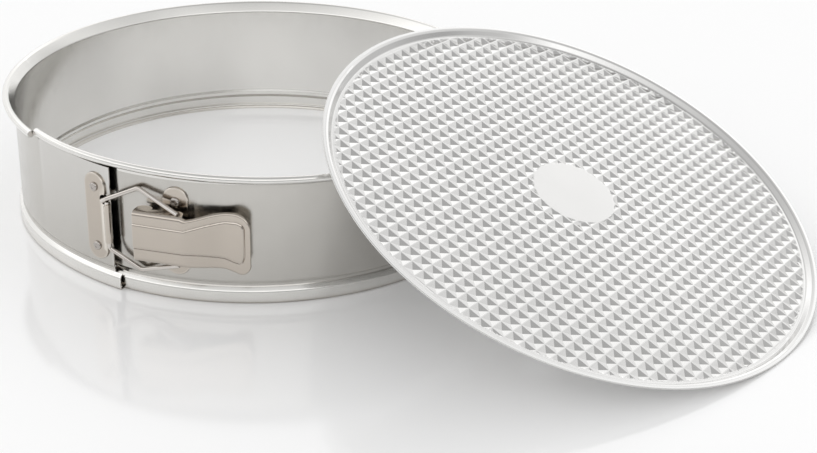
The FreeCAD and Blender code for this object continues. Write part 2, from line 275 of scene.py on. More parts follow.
def map_range(tree, value, start, end, low=0.0, high=1.0):
    """Carries a value from start..end to low..high."""
    span = node(tree, "ShaderNodeMapRange")
    span.inputs["From Min"].default_value = start
    span.inputs["From Max"].default_value = end
    span.inputs["To Min"].default_value = low
    span.inputs["To Max"].default_value = high
    tree.links.new(value, span.inputs["Value"])
    return span.outputs["Result"]


def remap(tree, value, low, high):
    """Spreads a noise, which seldom leaves 0.3..0.7, over low..high."""
    return map_range(tree, value, 0.3, 0.7, low, high)


def metal(name, colour, edge_colour, roughness, grain=900, stretch=(1, 1, 0.05),
          waviness=0.25, grain_depth=0.02, speckle=0.03, crevice_shade=(0.5, 0.46, 0.42)):
    """Sheet metal: rolled grain, soft waves, patchy tone, worn edges, painted shade in crevices.
    """
    material = bpy.data.materials.new(name)
    material.use_nodes = True
    tree = material.node_tree
    shader = tree.nodes["Principled BSDF"]
    shader.inputs["Metallic"].default_value = 1.0
    place_in = node(tree, "ShaderNodeTexCoord").outputs["Object"]

    patches = noise(tree, place_in, 22, 4)
    streaks = noise(tree, place_in, grain, 2, stretch)
    blotches = noise(tree, place_in, 160, 5)

    tone = node(tree, "ShaderNodeMix", data_type="RGBA")
    low = [channel * (1 - speckle) for channel in colour]
    high = [min(channel * (1 + speckle), 1) for channel in colour]
    tone.inputs["A"].default_value = (*low, 1)
    tone.inputs["B"].default_value = (*high, 1)
    tree.links.new(remap(tree, patches, 0, 1), tone.inputs["Factor"])

    geometry = node(tree, "ShaderNodeNewGeometry")
    worn = map_range(tree, geometry.outputs["Pointiness"], 0.52, 0.62)
    edges = node(tree, "ShaderNodeMix", data_type="RGBA")
    edges.inputs["B"].default_value = (*edge_colour, 1)
    tree.links.new(worn, edges.inputs["Factor"])
    tree.links.new(tone.outputs["Result"], edges.inputs["A"])

    # Painted shade: the colour is darkened towards the crevice colour wherever ambient occlusion
    # finds surfaces within 5 mm.
    hollow = node(tree, "ShaderNodeAmbientOcclusion", samples=6)
    hollow.inputs["Distance"].default_value = 0.005
    exposed = map_range(tree, hollow.outputs["AO"], 0.25, 0.75)
    crevice_shaded = node(tree, "ShaderNodeMix", data_type="RGBA", blend_type="MULTIPLY")
    crevice_shaded.inputs["B"].default_value = (*crevice_shade, 1)
    inverse = node(tree, "ShaderNodeMath", operation="SUBTRACT")
    inverse.inputs[0].default_value = 1.0
    tree.links.new(exposed, inverse.inputs[1])
    tree.links.new(inverse.outputs["Value"], crevice_shaded.inputs["Factor"])
    tree.links.new(edges.outputs["Result"], crevice_shaded.inputs["A"])
    tree.links.new(crevice_shaded.outputs["Result"], shader.inputs["Base Color"])

    rough = node(tree, "ShaderNodeMath", operation="ADD")
    tree.links.new(remap(tree, blotches, roughness * 0.85, roughness * 1.15), rough.inputs[0])
    tree.links.new(remap(tree, streaks, -roughness * 0.12, roughness * 0.12), rough.inputs[1])
    tree.links.new(rough.outputs["Value"], shader.inputs["Roughness"])

    wave = node(tree, "ShaderNodeBump")
    wave.inputs["Strength"].default_value = waviness
    wave.inputs["Distance"].default_value = 0.0006
    tree.links.new(noise(tree, place_in, 26, 1), wave.inputs["Height"])
    lines = node(tree, "ShaderNodeBump")
    lines.inputs["Strength"].default_value = grain_depth
    lines.inputs["Distance"].default_value = 0.0001
    tree.links.new(streaks, lines.inputs["Height"])
    tree.links.new(wave.outputs["Normal"], lines.inputs["Normal"])
    tree.links.new(lines.outputs["Normal"], shader.inputs["Normal"])
    return material


# The first two are one tin in two tones: the darker is painted shade on the outer wall, the
# lighter is painted light on the inside, rim and bead.
TINPLATE = metal("tinplate", (0.56, 0.545, 0.515), (0.66, 0.65, 0.63), 0.22)
TIN_PAINTED_LIT = metal("tinplate_painted_lit", (0.80, 0.79, 0.765), (0.90, 0.89, 0.87), 0.20)
BASE_TIN = metal("base_tinplate", (0.72, 0.715, 0.705), (0.8, 0.8, 0.79), 0.13, grain=500,
                 stretch=(1, 0.1, 1), waviness=0.05, crevice_shade=(0.85, 0.84, 0.82))
NICKEL = metal("latch_nickel", (0.535, 0.485, 0.43), (0.80, 0.76, 0.70), 0.16, grain=1400,
               stretch=(1, 1, 0.04), waviness=0.12, grain_depth=0.06)
WIRE = metal("bail_steel", (0.64, 0.60, 0.56), (0.8, 0.77, 0.74), 0.11, grain=1600,
             waviness=0.1)
RIVET = metal("rivet_steel", (0.46, 0.43, 0.405), (0.66, 0.63, 0.60), 0.22, grain=1200,
              waviness=0.2)


# --- band -------------------------------------------------------------------------
BAND_HEIGHT = 68.0
RIM_Z = BAND_HEIGHT - ROLL_RADIUS
SEAM = -117.5                     # the outer sheet's end, as an azimuth in degrees
BEAD_SEAM = -116.1                # where the two foot beads meet
ROLL_SEAM = -141.7                # where the two rolled rims meet
TONGUE_END = -154.0               # the inner sheet's end, under the outer one
SPLIT = 30.0                      # the two visible pieces of the band meet here, unseen
BEAD_RADIUS = 130.0               # where the gaps between the foot beads are measured
STANDOFF = 2.1                    # how far the outer sheet stands out at the seam
INSET = 1.7                       # how far the inner sheet steps in under it
JOGGLE = 5.5                      # degrees over which it steps in,
JOGGLE_LEAD = 1.7                 # beginning this far before its bead ends
FOOT_UNDER = 2.5                  # degrees its foot runs on under the seam
roll_gap = math.degrees(0.4 / ROLL_CENTRE)
left_roll_end = ROLL_SEAM + 360 - roll_gap
right_roll_start = ROLL_SEAM + roll_gap
right_start = BEAD_SEAM + math.degrees(0.3 / BEAD_RADIUS)
left_bead_end = BEAD_SEAM + 360 + math.degrees(1.3 / BEAD_RADIUS)

foot_corners = [(126.8, 0.6, 0), (130.75, 0.6, 0.7), (130.8, 6.4, 0.9), (WALL_INSIDE, 8.1, 0.9)]
ridge_corners = [(WALL_INSIDE - 0.5, 8.9, 0.75), (WALL_INSIDE - 0.5, 10.4, 0.8),
                 (WALL_INSIDE, 11.9, 0.9)]
BEAD_TOP = 8.3                    # heights from the ground
FOOT_TOP = 14.8                   # plain wall from here up
TONGUE_BOTTOM = 9.6
TONGUE_TOP = 59.3
WALL_TOP = 61.7                   # above this the wall flares out to the roll
OVERLAP_TOP = 64.3                # top of the outer sheet where it has no roll,
OVERLAP_RISE = 0.3                # which it reaches over this many degrees
FLARE_FOOT = 62.9
ROLL_START = 145                  # degrees on the roll's circle where the flare runs into it
STAND_START = -58                 # azimuth where the inner sheet's rim begins to stand up,
STAND_LENGTH = 62                 # and the degrees over which it does
STAND_TURN = 25                   # how much further round a standing rim's roll begins
RIM_WIRE_END = 62.2               # azimuth in degrees
TIP_HOLE = 2.55                   # radius of the hole under the bail's free end


def upright(azimuth):
    """How far the rim of the inner sheet stands up instead of flaring, towards its cut end."""
    return smooth_step((STAND_START - azimuth) / STAND_LENGTH)


def roll_middle(stand):
    """The roll's middle as (radius, height); a rim that stands up is further in and higher."""
    return Vector((ROLL_CENTRE - 2.7 * stand, RIM_Z + 0.9 * stand))


def rolled_rim(stand=0.0):
    """The sheet curls outward over the top and closes under itself."""
    centre = roll_middle(stand)
    start = ROLL_START + STAND_TURN * stand
    turns = [math.radians(start - step * 10) for step in range(31)]
    return [centre + Vector((math.cos(turn), math.sin(turn))) * ROLL_RADIUS for turn in turns]


def rim_line(inset=0.0, bottom=FOOT_TOP, stand=0.0):
    """The pan's inside from a height up to the rim. The wall can be stepped inward."""
    rim = rolled_rim(stand)
    wall = WALL_INSIDE - inset
    line = rounded([(wall, bottom, 0), (wall, FLARE_FOOT, 3.0), (rim[0].x, rim[0].y, 0)])
    return line[:-1] + rim


def turned_section(loop, azimuth, centre=Vector((0, 0, 0))):
    out = direction(azimuth)
    return [centre + out * point.x + UP * point.y for point in loop]


def spread(start, end, step=0.6):
    count = max(2, math.ceil(abs(end - start) / step) + 1)
    return [start + (end - start) * index / (count - 1) for index in range(count)]


def drift_out(azimuth):
    """How far the left half stands off the circle between the rim's cut and the seam."""
    swing = math.radians(max(azimuth - left_roll_end, 0.0))
    full = math.radians(SEAM + 360 - left_roll_end)
    return STANDOFF * (1 - math.cos(swing)) / (1 - math.cos(full))


def drifting_section(loop, azimuth):
    shift = direction(azimuth) * drift_out(azimuth)
    return turned_section(loop, azimuth, shift)


def step_in(azimuth):
    """How far the inner sheet has stepped in under the outer one."""
    return INSET * smooth_step((right_start + JOGGLE_LEAD - azimuth) / JOGGLE)


def right_section(azimuth, lower=foot_corners):
    """The inner sheet from its foot up into the roll, stepped in near the seam."""
    inset = step_in(azimuth)
    above = [(radius - inset, height, bend)
             for radius, height, bend in ridge_corners + [(WALL_INSIDE, FOOT_TOP, 0)]]
    line = rounded(lower + above) + rim_line(inset, stand=upright(azimuth))[1:]
    return turned_section(sheet_loop(line), azimuth)


def right_skirt_section(azimuth):
    """The stepped-in sheet under the outer one, where it has no foot."""
    inset = step_in(azimuth)
    bottom = Vector((WALL_INSIDE - inset, TONGUE_BOTTOM))
    return turned_section(sheet_loop([bottom] + rim_line(inset, stand=upright(azimuth))), azimuth)


def left_wall_section(azimuth):
    risen = smooth_step((azimuth - left_roll_end) / OVERLAP_RISE)
    top = WALL_TOP + (OVERLAP_TOP - WALL_TOP) * risen
    line = rounded(foot_corners + ridge_corners + [(WALL_INSIDE, top, 0)])
    return drifting_section(sheet_loop(line), azimuth)


def paint_lit_tin(piece):
    """Painted light on the inside, rim and bead with the lighter tin; painted shade on the outer
    wall.
    """
    piece.data.materials.append(TIN_PAINTED_LIT)
    for face in piece.data.polygons:
        out = face.center - CENTRE
        inward = face.normal.x * out.x + face.normal.y * out.y < 0
        # Painted light: inward faces, and faces below the bead's top or above the flare's foot,
        # take the lighter tin.
        if inward or not BEAD_TOP * MM < out.z < FLARE_FOOT * MM:
            face.material_index = 1


def build_right_sheet():
    tongue = sheet_loop([Vector((WALL_INSIDE - INSET, height))
                         for height in (TONGUE_BOTTOM, 30, TONGUE_TOP)])
    under_seam = [(130.8, 1.1, 0)] + foot_corners[2:]      # without the foot's turned-in lip
    skirt_end = right_start - FOOT_UNDER
    joggle_start = right_start + JOGGLE_LEAD
    full = spread(right_start, joggle_start, 0.3)[:-1] + spread(joggle_start, SPLIT)
    right = [shell([right_skirt_section(a) for a in spread(right_roll_start, skirt_end)]),
             shell([right_section(a, under_seam) for a in spread(skirt_end, right_start, 0.4)]),
             shell([right_section(a) for a in full]),
             shell([turned_section(tongue, a) for a in spread(TONGUE_END, right_roll_start)])]
    right_piece = add_mesh("band_right_sheet", *merge(right), TINPLATE)
    paint_lit_tin(right_piece)
    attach(right_piece, "band")
    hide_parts("band_right")


def tip_seat():
    """Where the bail's free end dips through the keeper plate and the sheet under it."""
    return latch_point(BAR.dot(ALONG) - 2.6, BAR.dot(OUT), 11.4)


def build_left_sheet():
    rim = sheet_loop(rim_line(bottom=WALL_TOP))
    bead = sheet_loop(rounded(foot_corners))
    course = spread(SPLIT, left_roll_end) + spread(left_roll_end + OVERLAP_RISE, SEAM + 360)
    wall = shell([left_wall_section(a) for a in course])
    left = [drilled(wall, tip_seat(), OUT, TIP_HOLE),
            shell([turned_section(rim, a) for a in spread(SPLIT, left_roll_end)]),
            shell([drifting_section(bead, a) for a in spread(SEAM + 360, left_bead_end)])]
    left_piece = add_mesh("band_left_sheet", *merge(left), TINPLATE)
    paint_lit_tin(left_piece)
    # Two points over the far side, from the split to a little past its middle, are worked out but
    # not used; nothing here bends the sheet.
    start = direction(SPLIT) * WALL_INSIDE
    across = direction(SEAM + 360 - 72.5) * 1.06 * WALL_INSIDE
    place(start)
    place(start + across)
    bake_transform(left_piece)
    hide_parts("band_left")


def build_rim_wires():
    """The wire inside the inner sheet's roll stands up with it; the other one stays as it is."""
    course = []
    for azimuth in spread(right_roll_start, RIM_WIRE_END, 1.0):
        middle = roll_middle(upright(azimuth))
        course.append(direction(azimuth) * middle.x + UP * middle.y)
    piece = add_mesh("rim_wire_right_body", *tube(course, 1.2), WIRE)
    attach(piece, "band")
    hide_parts("rim_wire_right")
    left_wire = frame["nodes"]["rim_wire_left"]
    left_wire.data.materials.clear()
    left_wire.data.materials.append(WIRE)


# --- riveted plates ---------------------------------------------------------------
PLATE = 1.0                       # thickness of the latch's steel
HALF_WIDTH = 6.4                  # of a riveted plate
STRAIGHT = 16.6                   # from its middle to where its rounded ends begin
EDGE = 0.22                       # how far its edges are softened
EAR_OUTSIDE = 10.85               # half the bracket's height over its ears


def oblong():
    """Outline of a riveted plate about its middle, in (across, up)."""
    steps = 14
    outline = []
    for middle, first in ((STRAIGHT, 0), (-STRAIGHT, 180)):
        for step in range(steps + 1):
            angle = math.radians(first + 180 * step / steps)
            outline.append((HALF_WIDTH * math.cos(angle), middle + HALF_WIDTH * math.sin(angle)))
    return outline


def curved_plate(azimuth, middle_z, radius_at):
    """An oblong that follows the wall, with softened edges."""
    rows = []
    outline = oblong()
    for inset, lift in ((0, 0), (0, PLATE - EDGE), (EDGE, PLATE), (1.2, PLATE), (3.2, PLATE),
                        (5.0, PLATE)):
        scale = 1 - inset / HALF_WIDTH
        ring = []
        for across, up in outline:
            middle = max(-STRAIGHT, min(STRAIGHT, up))
            x, y = across * scale, middle + (up - middle) * scale
            turn = azimuth + math.degrees(x / WALL_INSIDE)
            ring.append(direction(turn) * (radius_at(turn) + lift) + UP * (middle_z + y))
        rows.append(ring)
    return shell(rows)


def build_rivet(name, centre, out, body):
    """A flat-topped head with a rounded shoulder, a dimple in the middle and a tail inside."""
    profile = [(0.02, 1.0), (0.55, 0.95), (0.85, 1.12), (1.35, 1.2), (1.8, 1.08), (2.15, 0.75),
               (2.3, 0.35), (2.3, 0.0), (1.4, 0.0), (1.4, -1.7), (2.1, -1.7), (2.1, -2.15),
               (0.02, -2.2)]
    other = out.cross(UP)
    rings = []
    for radius, height in profile:
        rings.append([centre + out * height
                      + (UP * math.cos(turn) + other * math.sin(turn)) * radius
                      for turn in ring_turns(28)])
    piece = add_mesh(name + "_head", *shell(rings), RIVET, sharp=50)
    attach(piece, body)
    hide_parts(name)


def box_middle(name):
    low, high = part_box(name)
    return local((low + high) / 2)


def plate_middle(name):
    """Where the middle of a riveted plate is: azimuth and height, from its two rivets."""
    upper, lower = box_middle(name + "_rivet_upper"), box_middle(name + "_rivet_lower")
    return math.degrees(math.atan2(upper.y, upper.x)), (upper.z + lower.z) / 2


def outer_sheet(azimuth):
    """The radius at which a plate sits on the left sheet."""
    return WALL_INSIDE + SHEET + PLAY + drift_out(azimuth % 360)


def web_corners(half):
    """A strip's section as (lift, height): the plate's thickness by twice the half."""
    return ((0, -half), (PLATE, -half), (PLATE, half), (0, half))


def build_rivets(plate, body, radius_at):
    for name in (plate + "_rivet_upper", plate + "_rivet_lower"):
        spot = box_middle(name)
        turn = math.degrees(math.atan2(spot.y, spot.x))
        seat = direction(turn) * (radius_at(turn) + PLATE) + UP * spot.z
        build_rivet(name, seat, direction(turn), body)


def build_keeper():
    azimuth, middle_z = plate_middle("keeper")
    parts = [curved_plate(azimuth, middle_z, outer_sheet)]
    bar_turn = math.degrees(math.atan2(BAR.y, BAR.x))
    half, chamfer = 10.3, 0.15
    out = direction(bar_turn)
    across = direction(bar_turn + 90)
    curl = []                     # round the barrel's outside and back round its inside
    for radius, first, sweep in ((1.8, -100, -300), (1.2, -400, 300)):
        for step in range(27):
            angle = math.radians(first + sweep * step / 26)
            curl.append((radius * math.cos(angle), radius * math.sin(angle)))
    rows = []
    for height in (-half, -half + chamfer, half - chamfer, half):
        rows.append([Vector((BAR.x, BAR.y, 0)) + across * x + out * y + UP * (LATCH_Z + height)
                     for x, y in curl])
    parts.append(shell(rows))
    plate_edge = azimuth + math.degrees(HALF_WIDTH / WALL_INSIDE)
    web = []
    for turn in spread(plate_edge - 0.6, bar_turn, 0.3):
        radius = outer_sheet(turn)
        web.append([direction(turn) * (radius + lift) + UP * (LATCH_Z + height)
                    for lift, height in web_corners(half)])
    parts.append(shell(web))
    parts = [drilled(part, tip_seat(), OUT, TIP_HOLE) for part in parts]
    piece = add_mesh("keeper_body", *merge(parts), NICKEL)
    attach(piece, "band_end")
    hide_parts("keeper_plate")
    build_rivets("keeper", "band_end", outer_sheet)


def inner_sheet(azimuth):
    """The radius at which a plate sits on the right sheet, which stays round."""
    return WALL_INSIDE + SHEET + PLAY


def build_bracket():
    azimuth, middle_z = plate_middle("bracket")
    parts = [curved_plate(azimuth, middle_z, inner_sheet)]
    pivot_along = PIVOT.dot(ALONG)
    pivot_out = PIVOT.dot(OUT)
    root = 130.3                  # where the ears grow out of the web
    ear_outline = [(-0.6, root - pivot_out), (-1.6, -1.72)]
    for step in range(13):
        angle = math.radians(225 - 195 * step / 12)
        ear_outline.append((2.35 * math.cos(angle), 2.35 * math.sin(angle)))
    ear_outline.append((8.0, root - pivot_out))
    for low in (EAR_OUTSIDE - PLATE, -EAR_OUTSIDE):
        rows = [[latch_point(pivot_along + x, pivot_out + y, height) for x, y in ear_outline]
                for height in (low, low + PLATE)]
        parts.append(shell(rows))
    web = []
    for along in spread(pivot_along - 0.6, 7.5, 1.0):
        radius = math.sqrt(inner_sheet(azimuth) ** 2 - along ** 2)
        web.append([latch_point(along, radius + lift, height)
                    for lift, height in web_corners(EAR_OUTSIDE)])
    parts.append(shell(web))
    piece = add_mesh("bracket_body", *merge(parts), NICKEL)
    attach(piece, "band")
    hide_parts("latch_bracket")
    build_rivets("bracket", "band", inner_sheet)


# --- lever ------------------------------------------------------------------------
FACE_OUT = 139.3                  # the box's flat face, outward
BOX_LEFT = -12.8                  # the box's free end, along
FOLD = 12.3                       # where the handle slopes away from the box, along
FOLD_HALF = 0.9                   # half the length of that fold
HANDLE_SLOPE = 28.0               # degrees towards the wall,
CURL_BACK = 29.0                  # and back to about level again
CURL_START = 14.0                 # past the fold
CURL_LENGTH = 12.0
HANDLE_LENGTH = 33.2
BOX_HALF = 12.15                  # half the box's height over its flanges
HANDLE_START = -0.8               # where, past the fold, the handle's edges leave the box's
COURSE_START = -1.0               # where, past the fold, the face leaves the box's flat face
COURSE_STEP = 0.1
RAISED = 0.38                     # height of the raised panel
PANEL_STEP = 0.7                  # width over which it rises
GROOVE = 0.36                     # depth of the groove round it,
GROOVE_OUT = 0.45                 # how far outside the panel's outline that lies
GROOVE_WIDTH = 0.38
BOX_BEND = 1.2                    # radius of the face's top and bottom bends on the box
HANDLE_BEND = 0.2                 # and on the handle
FLANGE = 3.2                      # depth of the turned-in edges
LUGS = ((-8.7, 4.1, 7.8), (7.5, 4.2, 6.2))     # middle along, half length and depth
LUG_ROUND = 3.4                   # how much shallower a lug is at its ends
MIDDLE_PIECE = (-4.4, 3.2)        # from and to, along, between the lugs
FADE = 3.2                        # length over which the flanges run out, past the fold


def through(points, x):
    """A smooth curve through (x, y) points, flat beyond its ends."""
    if x <= points[0][0]:
        return points[0][1]
    if x >= points[-1][0]:
        return points[-1][1]
    for index in range(len(points) - 1):
        if points[index][0] <= x <= points[index + 1][0]:
            break
    p0 = points[max(index - 1, 0)]
    p1, p2 = points[index], points[index + 1]
    p3 = points[min(index + 2, len(points) - 1)]
    width = p2[0] - p1[0]
    t = (x - p1[0]) / width
    slope1 = (p2[1] - p0[1]) / max(p2[0] - p0[0], 1e-6) * width
    slope2 = (p3[1] - p1[1]) / max(p3[0] - p1[0], 1e-6) * width
    return ((2 * t ** 3 - 3 * t ** 2 + 1) * p1[1] + (t ** 3 - 2 * t ** 2 + t) * slope1
            + (3 * t ** 2 - 2 * t ** 3) * p2[1] + (t ** 3 - t ** 2) * slope2)


handle_top = [(HANDLE_START, 12.1), (1.6, 10.9), (7.5, 11.6), (13, 12.7), (18.9, 13.4),
              (24.6, 13.7)]
handle_bottom = [(0, -12.0), (7.5, -12.8), (19.2, -14.0), (24.5, -15.5), (27.5, -16.4)]
TOP_ARC = (24.6, 13.7, 8.6, 7.6)          # start along, height, length and drop of a corner
BOTTOM_ARC = (27.5, -16.4, 5.7, -7.0)


def corner_height(arc, s):
    start, height, length, drop = arc
    share = min((s - start) / length, 1.0)
    return height - drop * (1 - math.sqrt(max(0.0, 1 - share * share)))


def top_edge(s):
    if s > TOP_ARC[0]:
        return corner_height(TOP_ARC, s)
    return through(handle_top, s) if s > HANDLE_START else BOX_HALF


def bottom_edge(s):
    if s > BOTTOM_ARC[0]:
        return corner_height(BOTTOM_ARC, s)
    return through(handle_bottom, s) if s > 0 else -BOX_HALF


panel = [(-26.0, 6.2), (0.5, 6.0), (10, 8.0), (20.4, 9.6), (26.6, 9.7), (28.7, 8.9), (29.6, 7.2),
         (29.4, -7.9), (28.7, -9.8), (27.2, -10.6), (24.5, -10.2), (20.0, -8.6), (10, -6.7),
         (0.5, -5.3), (-26.0, -5.5)]


def panel_depth(s, h):
    """How far inside the raised panel's outline the point lies, negative outside."""
    best = 1e9
    inside = False
    for (x0, y0), (x1, y1) in zip(panel, panel[1:] + panel[:1]):
        dx, dy = x1 - x0, y1 - y0
        t = max(0.0, min(1.0, ((s - x0) * dx + (h - y0) * dy) / (dx * dx + dy * dy)))
        best = min(best, math.hypot(s - x0 - dx * t, h - y0 - dy * t))
        if (y0 > h) != (y1 > h) and s < x0 + (h - y0) * dx / dy:
            inside = not inside
    return best if inside else -best


def face_slope(s):
    """The lever's slope towards the wall, in radians, at a distance past the fold."""
    fold = smooth_step((s + FOLD_HALF) / (2 * FOLD_HALF))
    curl = smooth_step((s - CURL_START) / CURL_LENGTH)
    return math.radians(HANDLE_SLOPE * fold - CURL_BACK * curl)


def face_line():
    """The lever's face from above: its course along and outward, at even steps past the fold."""
    course = [(COURSE_START, 0.0)]
    while len(course) * COURSE_STEP < HANDLE_LENGTH + 1.1:
        slope = face_slope(COURSE_START + (len(course) - 0.5) * COURSE_STEP)
        along, out = course[-1]
        course.append((along + COURSE_STEP * math.cos(slope), out - COURSE_STEP * math.sin(slope)))
    return course


COURSE = face_line()


def face_point(s, h, depth):
    """A point on the lever: s along it from the fold, h up, depth in from its outer face."""
    if s <= COURSE_START:
        along, out = s, 0.0
    else:
        step = (s - COURSE_START) / COURSE_STEP
        index = min(int(step), len(COURSE) - 2)
        (x0, y0), (x1, y1) = COURSE[index], COURSE[index + 1]
        along = x0 + (x1 - x0) * (step - index)
        out = y0 + (y1 - y0) * (step - index)
    turned = face_slope(s)
    return latch_point(FOLD + along - depth * math.sin(turned),
                       FACE_OUT + out - depth * math.cos(turned), h)


def run_out(s):
    """From 1 on the box to 0 on the handle, which has neither flanges nor bends."""
    return 1 - smooth_step((s - HANDLE_START) / FADE)


def flange_depth(s, upper):
    """How deep the turned-in edge goes, with its two lugs on the box."""
    along = FOLD + s
    depth = FLANGE
    for middle, half, reach in LUGS:
        share = abs(along - middle) / half
        if share < 1:
            depth = max(depth, reach - LUG_ROUND * (1 - math.sqrt(1 - share ** 2)))
    if MIDDLE_PIECE[0] < along < MIDDLE_PIECE[1]:
        depth = 4.3 if upper else 3.6
    return max(depth * run_out(s), 0.3)


def edge_line(edge, side, bend, deep):
    """From a flange's free edge round its bend to the face, as (height, depth) points."""
    line = [(edge, bend + max(deep - bend, 0.05) * (1 - step / 6)) for step in range(7)]
    for step in range(1, 6):
        angle = math.radians(90 * step / 6)
        line.append((edge - side * bend * (1 - math.cos(angle)), bend * (1 - math.sin(angle))))
    return line


def lever_section(s):
    """One cross-section: down the upper flange, over the face, and back up the lower one."""
    top, bottom = top_edge(s), bottom_edge(s)
    bend = HANDLE_BEND + (BOX_BEND - HANDLE_BEND) * run_out(s)
    line = edge_line(top, 1, bend, flange_depth(s, True))
    rows = 110
    for step in range(rows + 1):
        h = top - bend - (top - bottom - 2 * bend) * step / rows
        into = panel_depth(s, h)
        raised = smooth_step(into / PANEL_STEP + 0.5)
        groove = math.exp(-((into + GROOVE_OUT) / GROOVE_WIDTH) ** 2)
        line.append((h, GROOVE * groove - RAISED * raised))
    line += edge_line(bottom, -1, bend, flange_depth(s, False))[::-1]
    outer = [Vector((h, -depth)) for h, depth in line]
    inner = offset(outer, PLATE)
    return [face_point(s, point.x, -point.y) for point in outer + inner[::-1]]


def build_lever():
    stations = spread(BOX_LEFT - FOLD, -1.4, 0.3) + spread(-1.2, 2.8, 0.15)     # finer at the fold
    stations += spread(3.1, HANDLE_LENGTH - 0.25, 0.3)
    piece = add_mesh("lever_body", *shell([lever_section(s) for s in stations]), NICKEL, sharp=40)
    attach(piece, "lever")
    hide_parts("latch_lever")
    pivot_along, pivot_out = PIVOT.dot(ALONG), PIVOT.dot(OUT)
    head = [(1.3, 12.17), (2.2, 12.2), (2.1, 12.6), (1.6, 12.87), (0.02, 12.9)]
    rings = []
    for radius, height in [(radius, -height) for radius, height in reversed(head)] + head:
        rings.append([latch_point(pivot_along + radius * math.cos(turn),
                                  pivot_out + radius * math.sin(turn), height)
                      for turn in ring_turns(28)])
    pin = add_mesh("lever_pin_body", *shell(rings), RIVET)
    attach(pin, "lever")
    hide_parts("lever_pin")


# --- bail -------------------------------------------------------------------------
WIRE_RADIUS = 1.15


def build_bail():
    """The wire runs from its dipped tip over the keeper, out to the hook, and back below."""
    bar_along, bar_out = BAR.dot(ALONG), BAR.dot(OUT)
    tip = latch_point(bar_along - 3.0, bar_out - 0.85, 11.2)
    barrel_end = (bar_along, bar_out, 13.2)
    shoulder = (-12.8, 131.6, 21.8)
    hook = (9.0, 137.3, 13.5)
    upper, lower = [[latch_point(along, outward, height * side)
                     for along, outward, height in (barrel_end, shoulder, hook)]
                    for side in (1, -1)]
    through_barrel = upper[0] - UP * 2
    parts = [tube(bend_path([tip] + upper, 4.0), WIRE_RADIUS),
             tube(bend_path([through_barrel] + lower, 2.4), WIRE_RADIUS)]
    piece = add_mesh("bail_body", *merge(parts), WIRE)
    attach(piece, "bail")
    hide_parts("bail_wire")


# --- base -------------------------------------------------------------------------
BASE_RADIUS = 130.0
BASE_SHEET = 0.42                 # the base's thickness
HEM = 0.42                        # radius of its rolled edge
BASE_LEAN = 22.3                  # degrees from level
DOWNHILL = -38.8                  # azimuth in degrees
FLOOR_TOP = -2.6                  # from the top of the hem
FLOOR_RADIUS = 123.9
WAFFLE_RADIUS = 123.3
WAFFLE_TURN = 2.3                 # degrees from downhill
MEDALLION = 21.5                  # radius of the plain middle
PITCH = 6.8                       # width of one cell with its ridge
PIT = 0.95                        # depth of a cell
RIDGE = 0.42                      # width of a ridge's flat top
SHOULDER = 0.3                    # width of the rounding beside it,
SHOULDER_DROP = 0.08              # and its part of the depth
STAMP_EDGE = 0.6                  # over which the stamping fades out on a circle
FINE_CUT = 0.55                   # size of the cuts there


def base_frame():
    """The top of the leaning base's hem: its middle, and the ways downhill, across and out."""
    low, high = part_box("base_plate")
    middle = local((low + high) / 2)
    lean = math.radians(BASE_LEAN)
    down = direction(DOWNHILL) * math.cos(lean) - UP * math.sin(lean)
    across = direction(DOWNHILL + 90)
    normal = down.cross(across)
    to_top = normal * 0.45
    return middle + to_top, down, across, normal


def stamp_depth(x, y):
    """How deep the floor is stamped at a point: upside-down pyramids between thin ridges."""
    reach = math.hypot(x, y)
    wall = min(x % PITCH, -x % PITCH, y % PITCH, -y % PITCH)
    half = RIDGE / 2
    if wall <= half:
        depth = 0.0
    elif wall <= half + SHOULDER:
        depth = SHOULDER_DROP * (wall - half) / SHOULDER
    else:
        side = (wall - half - SHOULDER) / (PITCH / 2 - half - SHOULDER)
        depth = SHOULDER_DROP + (1 - SHOULDER_DROP) * side
    edge = min(reach - MEDALLION, WAFFLE_RADIUS - reach) / STAMP_EDGE
    return PIT * depth * smooth_step(edge)


def cell_marks(fine):
    """Where a cell is cut across, along either side."""
    half = RIDGE / 2
    marks = [0, half, half + SHOULDER, PITCH / 2, PITCH - half - SHOULDER, PITCH - half, PITCH]
    if not fine:
        return marks
    cuts = []
    for a, b in zip(marks, marks[1:]):
        pieces = math.ceil((b - a) / FINE_CUT)
        cuts += [a + (b - a) * step / pieces for step in range(pieces)]
    return cuts + [PITCH]


